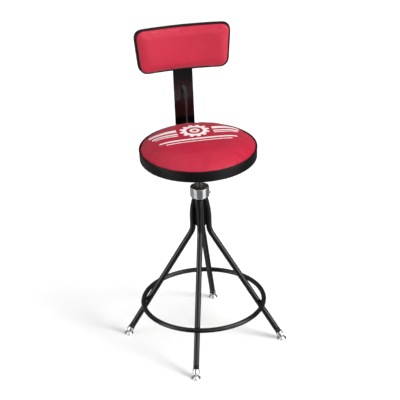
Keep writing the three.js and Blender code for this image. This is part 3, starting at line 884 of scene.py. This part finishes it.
def make_cushion(name, outline, thickness, rise, voxel, swelling):
    """A pad that starts a little low, swells by simulation, and is scaled back to its full height."""
    pad = cushion_form(name, outline, thickness, lambda u, v: BEFORE_SWELLING * rise(u, v))
    even = pad.modifiers.new("even", "REMESH")
    even.mode = "VOXEL"
    even.voxel_size = voxel
    even.use_smooth_shade = True
    apply_modifiers(pad)
    points = swell(pad, swelling)
    above = points[:, 2] > 0
    points[above, 2] *= rise(0, 0) / points[:, 2].max()
    pad.data.vertices.foreach_set("co", points.ravel())
    smooth = pad.modifiers.new("smooth", "SMOOTH")
    smooth.factor = 0.5
    smooth.iterations = 7
    fine = pad.modifiers.new("fine", "SUBSURF")
    fine.levels = fine.render_levels = 1
    apply_modifiers(pad)
    shade(pad.data, True)
    return pad


# ---- seat

BAND_LOW, BAND_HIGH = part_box("seat_band")
SEAT_RADIUS = outer_radius("seat_band")
SEAM = BAND_HIGH.z + 0.6 * MM
BAND_CORNER = 5 * MM


def make_seat_cushion():
    """The seat's crown: steep over the piping, then an even dome."""
    edge = SEAT_RADIUS + 0.6 * MM
    seam = SEAM - 1.5 * MM
    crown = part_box("seat_cover")[1].z - seam
    tucked = 2 * MM

    def rise(x, y):
        share = min(hypot(x, y) / edge, 1)
        return crown * (1 - share ** 3) ** 0.6

    outline = [(edge * cos(angle), edge * sin(angle)) for angle in around(96)]
    pad = make_cushion("seat_cushion", outline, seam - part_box("seat_foam")[0].z, rise, 6 * MM, 7 * MM)

    def fit(p):
        """Draws the foam in under the piping, and puckers the cover where it is sewn."""
        near = exp(-(((edge - p.xy.length) / (9 * MM)) ** 2))
        pleat = noise.noise(polar(14, atan2(p.y, p.x), 2.0))
        wave = noise.noise(p * 17)
        lift = -0.2 * MM * near * pleat + 0.35 * MM * wave * (1 - near)
        if p.z > tucked:
            return Vector((p.x, p.y, p.z + seam + lift))
        draw_in = 1 - 4.5 * MM / SEAT_RADIUS * min((tucked - p.z) / tucked, 1)
        return Vector((p.x * draw_in, p.y * draw_in, p.z + seam))

    reshape(pad, fit)
    dress(pad, "seat_red", "seat", "seat_cover", "seat_foam")


def make_seat_band():
    """The boxing strip: a little full between the welt and the tucked lower edge."""
    lip, top = BAND_LOW.z, SEAM - 0.5 * MM
    corner = lip + BAND_CORNER
    face = SEAT_RADIUS - 0.7 * MM
    profile = [(face + 0.5 * MM * sin(pi * t), top + (corner - top) * t) for t in shares(12)]
    for angle in [pi / 2 * t for t in shares(7)[1:]]:
        turn_in = BAND_CORNER * cos(angle) - 5.7 * MM
        profile.append((SEAT_RADIUS + turn_in, corner - BAND_CORNER * sin(angle)))
    profile += [(SEAT_RADIUS - 20 * MM, lip), (SEAT_RADIUS - 20 * MM, lip + 1.3 * MM),
                (SEAT_RADIUS - 6 * MM, lip + 1.3 * MM), (SEAT_RADIUS - 2.2 * MM, corner),
                (SEAT_RADIUS - 2.2 * MM, top)]
    band = turned("seat_boxing", profile, 288)

    def relax(p):
        """Lets the strip ripple, and gathers it where it is pulled under."""
        if p.xy.length <= SEAT_RADIUS - 5 * MM:
            return p
        out = polar(1, atan2(p.y, p.x))
        slow = noise.noise(out * 5 + Vector((0, 0, p.z * 30)))
        gather = noise.noise(out * 26) * max(0, 1 - (p.z - lip) / (9 * MM))
        return p + out * (0.35 * MM * slow + 0.7 * MM * gather)

    reshape(band, relax)
    dress(band, "black_vinyl", "seat", "seat_band")


def make_seat_welt():
    """The piping: a covered cord that bears down a little where it is sewn."""
    middle = centre("seat_welt").z - 0.3 * MM

    def section(out):
        return middle + 0.15 * MM * noise.noise(out * 9), 1.75 * MM * (1 + 0.05 * noise.noise(out * 22))

    welt = hoop("seat_piping", SEAT_RADIUS - 0.9 * MM, 360, 14, section)
    dress(welt, "black_vinyl", "seat", "seat_welt")


def stitch_row(name, places, length, radius):
    """Short raised stitches, each a bent rod along its own direction."""
    stitches = []
    for point, direction, outward in places:
        path = [point + direction * length / 2 * t + outward * radius * (0.9 - 1.5 * t * t)
                for t in [2 * share - 1 for share in shares(6)]]
        stitches.append(bead(path, radius))
    dress(join(name, stitches), "black_thread", "seat")


def make_band_seam():
    """The closing seam of the boxing strip at the back, with a stitch row on each side."""
    lip, top = BAND_LOW.z + BAND_CORNER, SEAM - 2 * MM
    count = 9
    places = []
    for offset in (-3.2 * MM, 3.2 * MM):
        angle = pi / 2 + offset / SEAT_RADIUS
        for k in range(count):
            spot = polar(SEAT_RADIUS - 0.1 * MM, angle, lip + (top - lip) * (k + 0.5) / count)
            places.append((spot, Vector((0, 0, 1)), polar(1, angle)))
    stitch_row("band_stitches", places, 2.6 * MM, 0.32 * MM)


def make_staples():
    """The wire staples that hold the tucked vinyl to the board, clear of the back bar."""
    wires = []
    count = 40
    for k in range(count):
        angle = tau * (k + 0.5) / count
        spot = polar(SEAT_RADIUS - 14 * MM, angle, BAND_LOW.z - 0.25 * MM)
        if spot.y > 0 and abs(spot.x) < 40 * MM:
            continue
        skew = 0.5 * noise.noise(Vector((len(wires) * 1.7, 0, 0)))
        along = polar(5.5 * MM, angle + skew + pi / 2)
        path = [spot + along * t + Vector((0, 0, 0.8 * MM if abs(t) == 1 else 0))
                for t in (-1, -0.92, -0.5, 0, 0.5, 0.92, 1)]
        wires.append(bead(path, 0.42 * MM))
    dress(join("seat_staples", wires), "zinc", "seat")


def seat_bolt(name, node):
    """A hexagon head on a washer under the plate, with its shank in the seat board."""
    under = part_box("swivel_plate")[0].z - 0.1 * MM
    head = hex_prism("head", 6.3 * MM, under - 5 * MM, under - 1.1 * MM)
    washer = disc("washer", 8 * MM, under - 1.2 * MM, under, 0.4 * MM, 40)
    shank = disc("shank", 3.1 * MM, under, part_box(node)[1].z, segments=24)
    spot = Matrix.Translation((centre(node).x, centre(node).y, 0))
    dress(place(join(name, [head, washer, shank]), spot), "zinc", "seat", node)


def make_plate():
    low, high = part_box("swivel_plate")
    corner = 12 * MM
    outline = []
    for quarter, (across, along) in enumerate(((1, 1), (-1, 1), (-1, -1), (1, -1))):
        middle = Vector(((high.x - corner) * across, (high.y - corner) * along, 0))
        outline += [middle + polar(corner, pi / 2 * (quarter + t)) for t in shares(8)]
    plate = loft("seat_plate", [[p + Vector((0, 0, z)) for p in outline] for z in (low.z, high.z)])
    soften_edges(plate, 1.2 * MM)
    shade(plate.data, False)
    dress(plate, "enamel", "seat", "swivel_plate")


def make_board():
    low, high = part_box("seat_board")
    board = disc("seat_base_board", outer_radius("seat_board"), low.z, high.z, 1.2 * MM, 144)
    dress(board, "plywood", "seat", "seat_board")


def make_seat():
    make_seat_cushion()
    make_seat_band()
    make_seat_welt()
    make_band_seam()
    make_staples()
    make_plate()
    make_board()
    for kind, count in (("plate", 4), ("bar", 2)):
        for index in range(1, count + 1):
            seat_bolt(f"{kind}_screw_{index}", f"{kind}_bolt_{index}")
            coat_in_zinc(f"{kind}_tee_nut_{index}")


# ---- back bar

BAR_LOW, BAR_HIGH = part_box("back_bar")
BAR_WIDTH = BAR_HIGH.x - BAR_LOW.x
BAR_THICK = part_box("swivel_plate")[1].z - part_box("swivel_plate")[0].z
BAR_LEAN = radians(2.5)
BAR_TURN = pi / 2 - BAR_LEAN
BAR_MIDDLE = BAR_LOW.z + BAR_THICK / 2
BAR_BEND = 28 * MM
BEND_START = 193 * MM
BAR_CORNER_Y = BEND_START + BAR_BEND * tan(BAR_TURN / 2)
TOP_CORNER = 9 * MM
RIB_GAP = 58 * MM
RIB_RISE = 4.2 * MM
RIB_HALF = 12 * MM


def bar_line():
    """Stations along the bar's middle line as (y, z, direction angle above the horizontal)."""
    stations = [(BAR_LOW.y + (BEND_START - BAR_LOW.y) * t, BAR_MIDDLE, 0.0) for t in shares(24)[:-1]]
    for angle in [BAR_TURN * t for t in shares(16)]:
        stations.append((BEND_START + BAR_BEND * sin(angle),
                         BAR_MIDDLE + BAR_BEND * (1 - cos(angle)), angle))
    last_y, last_z, _ = stations[-1]
    for rise in [(BAR_HIGH.z - last_z) * t for t in shares(64)[1:]]:
        stations.append((last_y + rise * tan(BAR_LEAN), last_z + rise, BAR_TURN))
    return stations


def rib_height(y, z):
    """How far the pressed rib stands out, from the bend up to a little under the pad."""
    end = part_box("backrest_band")[0].z - RIB_GAP
    share = min(clamped((end - z) / (24 * MM)), clamped((y - SEAT_RADIUS - 3 * MM) / (12 * MM)))
    return RIB_RISE * (1 - cos(pi * share)) / 2


def make_back_bar():
    """The flat bar: bent up behind the seat, ribbed along the middle, with rounded top corners."""
    half = BAR_WIDTH / 2
    columns = [half * k / 10 for k in range(-10, 11)] + [RIB_HALF * k / 9 for k in range(-12, 13)]
    xs = sorted({round(x, 6) for x in columns})
    rings = []
    for y, z, angle in bar_line():
        normal = Vector((0, -sin(angle), cos(angle)))
        rib = rib_height(y, z)
        face = [(Vector((x, y, z)), rib * (0.5 + 0.5 * cos(pi * min(abs(x) / RIB_HALF, 1)))) for x in xs]
        front = [spot + normal * (bump + BAR_THICK / 2) for spot, bump in face]
        rear = [spot + normal * (bump - BAR_THICK / 2) for spot, bump in reversed(face)]
        rings.append(front + rear)
    for ring in reversed(rings[-10:]):
        below = (rings[-1][0] - ring[0]).length
        if below < TOP_CORNER:
            inset = TOP_CORNER - sqrt(TOP_CORNER ** 2 - (TOP_CORNER - below) ** 2)
            for point in ring:
                point.x = copysign(min(abs(point.x), half - inset), point.x)
    bar = loft("back_bar_steel", rings)
    soften_edges(bar, 1.1 * MM, 50)
    dress(bar, "enamel", "seat", "back_bar")


# ---- backrest

PAD_CURVE = 0.730
PAD_TOP_WIDTH = outer_radius("backrest_band") * 2 + 6 * MM
PAD_BOTTOM_WIDTH = PAD_TOP_WIDTH - 27 * MM
PAD_HEIGHT = 151 * MM
PAD_ROUND = 34 * MM
PAD_DEPTH = 19 * MM


def make_pad_frame():
    """The backrest's frame: its origin on the bar's front face at the pad's middle, and Z up the bar."""
    height = centre("backrest_board").z
    run = BAR_CORNER_Y + (height - BAR_MIDDLE) * tan(BAR_LEAN)
    origin = Vector((0, run - BAR_THICK / 2 / cos(BAR_LEAN), height))
    return Matrix.Translation(origin) @ Matrix.Rotation(-BAR_LEAN, 4, "X")


PAD_FRAME = make_pad_frame()


def pad_outline(inset):
    """The rounded trapezium seen from the front, as evenly spaced points."""
    top = PAD_TOP_WIDTH / 2 - inset
    bottom = PAD_BOTTOM_WIDTH / 2 - inset
    half = PAD_HEIGHT / 2 - inset
    size = PAD_ROUND - inset
    corners = [Vector((bottom, -half)), Vector((top, half)), Vector((-top, half)), Vector((-bottom, -half))]
    points = []
    for index, corner in enumerate(corners):
        after = corners[(index + 1) % 4]
        points += corner_curve(corners[index - 1], corner, after, size, 14)
        end = points[-1]
        next_start = after + (corner - after).normalized() * size
        run = int((next_start - end).length / (6 * MM))
        points += [end.lerp(next_start, step / run) for step in range(1, run)]
    return [tuple(p) for p in points]


def onto_back(across, up, depth):
    """From the flat pad (across, up, forward of the bar) to its curved place on the bar."""
    radius = PAD_CURVE - depth
    angle = across / PAD_CURVE
    return PAD_FRAME @ Vector((radius * sin(angle), radius * cos(angle) - PAD_CURVE, up))


def pad_ring(inset, depth, share=1.0):
    """The pad's outline at one depth, in its place. A share below 1 draws it in to the middle."""
    return [onto_back(u * share, v * share, depth) for u, v in pad_outline(inset)]


def make_backrest_cushion():
    """The backrest's pillow: a rolled margin all round a nearly flat face."""
    seam = PAD_DEPTH - 1.2 * MM
    outline = pad_outline(2.6 * MM)
    border = np.array(outline)
    margin = 27 * MM
    crown = 15 * MM

    def rise(u, v):
        gap = np.hypot(border[:, 0] - u, border[:, 1] - v).min()
        roll = (1 - max(1 - gap / margin, 0) ** 2.2) ** 0.62
        return crown * (0.86 * roll + 0.14 * (1 - (u / border[:, 0].max()) ** 2))

    pad = make_cushion("backrest_cushion", outline, seam - 12.6 * MM, rise, 4.5 * MM, 4 * MM)

    def settle(p):
        """Curves the pad round the sitter's back, with faint hollows in its face."""
        wave = noise.noise(Vector((p.x, p.y, 0.3)) * 21)
        lift = 0.4 * MM * wave if p.z > 1 * MM else 0
        return onto_back(p.x, p.y, p.z + lift + seam)

    reshape(pad, settle)
    dress(pad, "red", "seat", "backrest_cover", "backrest_foam")


def make_backrest_trim():
    """The black edge band, turned in behind the pad, and the piping along its front edge."""
    seam = PAD_DEPTH - 1.6 * MM
    band = [(0.9 * MM, seam), (0.3 * MM, seam * 0.75), (0.2 * MM, seam * 0.5)]
    band += in_mm([(0.5, 3.5), (1.6, 1.4), (4.0, 0.5), (9, 0.5), (9, 1.3), (4, 2.2), (2.4, 4.5)])
    band.append((2.2 * MM, seam))
    cord = 2.2 * MM
    middle = seam + 0.9 * MM
    piping = [(2.0 * MM - cord * cos(turn), middle + cord * sin(turn)) for turn in around(12)]
    for name, section, node in (("boxing", band, "backrest_band"), ("piping", piping, "backrest_welt")):
        strip = loft(f"backrest_{name}", [pad_ring(inset, depth) for inset, depth in section], closed=True)
        dress(strip, "black_vinyl", "seat", node)


def make_backrest_back():
    """The black vinyl panel over the pad's back, with its stitched edge."""
    edge, rear, front = 6.5 * MM, 0.45 * MM, 2.2 * MM
    steps = (0.02, 0.2, 0.4, 0.6, 0.8)
    rings = [pad_ring(edge, rear, share) for share in steps]
    rings += [pad_ring(edge, rear), pad_ring(edge - 0.8 * MM, 1.2 * MM), pad_ring(edge, front)]
    rings += [pad_ring(edge, front, share) for share in reversed(steps)]
    dress(loft("backrest_back_cover", rings), "black_vinyl", "seat", "backrest_panel")
    outline = pad_outline(edge + 5 * MM)
    places = []
    travelled = 0.0
    for first, second in zip(outline, outline[1:] + outline[:1]):
        travelled += dist(first, second)
        if travelled < 4.4 * MM:
            continue
        travelled = 0.0
        here = onto_back(*first, 0.4 * MM)
        ahead = onto_back(*second, 0.4 * MM)
        outward = (onto_back(*first, -1 * MM) - here).normalized()
        if abs(here.x) > BAR_WIDTH / 2 + 2 * MM:
            places.append((here, (ahead - here).normalized(), outward))
    stitch_row("backrest_stitches", places, 3.0 * MM, 0.33 * MM)


def make_backrest_board():
    low, high = 2.7 * MM, 10.7 * MM
    levels = ((0.02, low), (0.5, low), (1, low), (1, high), (0.5, high), (0.02, high))
    board = loft("backrest_base_board", [pad_ring(3.4 * MM, depth, share) for share, depth in levels])
    dress(board, "plywood", "seat", "backrest_board")


def make_backrest_bolts():
    """The bolts that hold the pad, on washers behind the bar."""
    backward = Matrix.Rotation(-pi / 2, 4, "X")
    for index in (1, 2):
        node = f"backrest_bolt_{index}"
        height = (PAD_FRAME.inverted() @ centre(node)).z
        head = hex_prism("head", 6.6 * MM, 1.0 * MM, 5.0 * MM)
        washer = disc("washer", 9 * MM, 0, 1.1 * MM, 0.4 * MM)
        shank = disc("shank", 3.1 * MM, -16 * MM, 0.5 * MM, segments=24)
        spot = PAD_FRAME @ Matrix.Translation((0, BAR_THICK + 0.05 * MM, height)) @ backward
        dress(place(join(f"backrest_screw_{index}", [head, washer, shank]), spot), "zinc", "seat", node)
        coat_in_zinc(f"backrest_tee_nut_{index}")


def make_backrest():
    make_backrest_cushion()
    make_backrest_trim()
    make_backrest_back()
    make_backrest_board()
    make_backrest_bolts()


# ---- studio

VIEW_AZIMUTH = radians(-10.5)
VIEW_PITCH = radians(26.81)
VIEW_ROLL = radians(2.1)
VIEW_DISTANCE = 4.448
VIEW_HEIGHT = 2.768
LENS = 137.26

# Each panel is an azimuth from the camera, a brightness and a half width in degrees. A soft box has an
# elevation too.
DIM = 0.15
PANELS = ((-57, 0.5, 25), (57, 0.75, 25), (-118, 0.12, 34))
SOFT_BOXES = ((70, 48, 2.4, 20), (20, 14, 1.05, 28), (-68, 6, 2.8, 20), (72, 8, 2.8, 20))
CEILING = 0.5
CEILING_START = 0.55
CEILING_FADE = 0.3

# Each sun is an azimuth from the camera, an elevation, a strength and an angular width.
SUNS = {"key": (58, 25, 2.7, 24), "overhead": (0, 88, 0.3, 100), "front_fill": (-25, 22, 0.15, 60)}


def from_camera(azimuth, elevation):
    """A direction from its azimuth, to the right of the camera's side, and its elevation, in degrees."""
    turn = VIEW_AZIMUTH + radians(azimuth)
    rise = radians(elevation)
    return Vector((sin(turn) * cos(rise), -cos(turn) * cos(rise), sin(rise)))


def make_camera():
    """A long lens a little above the seat, as in a catalogue picture."""
    data = bpy.data.cameras.new("camera")
    data.sensor_width = 36
    data.lens = LENS
    camera = bpy.data.objects.new("camera", data)
    bpy.context.scene.collection.objects.link(camera)
    aside = from_camera(0, 0)
    camera.location = aside * VIEW_DISTANCE + Vector((0, 0, VIEW_HEIGHT))
    ahead = -aside * cos(VIEW_PITCH) - Vector((0, 0, sin(VIEW_PITCH)))
    level = ahead.to_track_quat("-Z", "Y").to_matrix().to_4x4()
    camera.rotation_euler = (level @ about_z(-VIEW_ROLL)).to_euler()
    bpy.context.scene.camera = camera


def make_floor():
    """A pale floor that doesn't show in glossy surfaces."""
    floor = new_piece("floor", circle(20, -0.2 * MM, 96), [tuple(range(96))], smooth=False)
    floor.data.materials.append(floor_look().material)
    floor.visible_glossy = False


def make_suns():
    """Even, soft light that is kept out of reflections."""
    for name, (azimuth, elevation, strength, width) in SUNS.items():
        data = bpy.data.lights.new(name, "SUN")
        data.energy = strength
        data.angle = radians(width)
        light = bpy.data.objects.new(name, data)
        bpy.context.scene.collection.objects.link(light)
        light.rotation_euler = (-from_camera(azimuth, elevation)).to_track_quat("-Z", "Y").to_euler()
        light.visible_glossy = False


def make_world():
    """A dim studio with tall panels, soft boxes and a bright ceiling, behind a plain white backdrop."""
    world = bpy.data.worlds.new("studio")
    world.use_nodes = True
    nodes = Nodes(world.node_tree)
    x, y, z = nodes.add("SeparateXYZ", {"Vector": nodes.add("TexCoord").outputs["Generated"]}).outputs
    level = nodes.math("MAXIMUM", nodes.length(x, y), 0.001)

    def lit(light, facing, half_width, fade, brightness):
        """Adds a light with a soft edge. facing is the cosine of the angle from its middle."""
        edge = cos(radians(half_width))
        share = nodes.math("DIVIDE", nodes.minus(facing, edge), fade * (1 - edge), clamp=True)
        return nodes.plus(light, nodes.times(share, brightness))

    light = DIM
    for azimuth, brightness, half_width in PANELS:
        toward = from_camera(azimuth, 0)
        along = nodes.plus(nodes.times(x, toward.x), nodes.times(y, toward.y))
        light = lit(light, nodes.math("DIVIDE", along, level), half_width, 0.5, brightness)
    ceiling = nodes.math("DIVIDE", nodes.minus(z, CEILING_START), CEILING_FADE, clamp=True)
    light = nodes.plus(light, nodes.times(ceiling, CEILING))
    for azimuth, elevation, brightness, half_width in SOFT_BOXES:
        toward = from_camera(azimuth, elevation)
        flat = nodes.plus(nodes.times(x, toward.x), nodes.times(y, toward.y))
        light = lit(light, nodes.plus(flat, nodes.times(z, toward.z)), half_width, 0.6, brightness)
    studio = nodes.tree.nodes["Background"]
    nodes.feed(studio.inputs["Color"], (1, 1, 1, 1))
    nodes.feed(studio.inputs["Strength"], light)
    backdrop = nodes.add("Background", {"Color": (1, 1, 1, 1)})
    seen = nodes.add("LightPath").outputs["Is Camera Ray"]
    mixed = nodes.add("MixShader", {0: seen, 1: studio.outputs[0], 2: backdrop.outputs[0]}).outputs[0]
    nodes.feed(nodes.tree.nodes["World Output"].inputs["Surface"], mixed)
    bpy.context.scene.world = world


def make_studio():
    make_camera()
    make_floor()
    make_world()
    make_suns()
    bpy.context.scene.view_settings.view_transform = "Standard"


# ---- build

make_studio()
make_base()
make_collar()
make_thread_nut()
make_lock()
for foot_side in SIDES:
    make_foot(foot_side)
make_spindle()
make_bearing()
make_seat()
make_back_bar()
make_backrest()
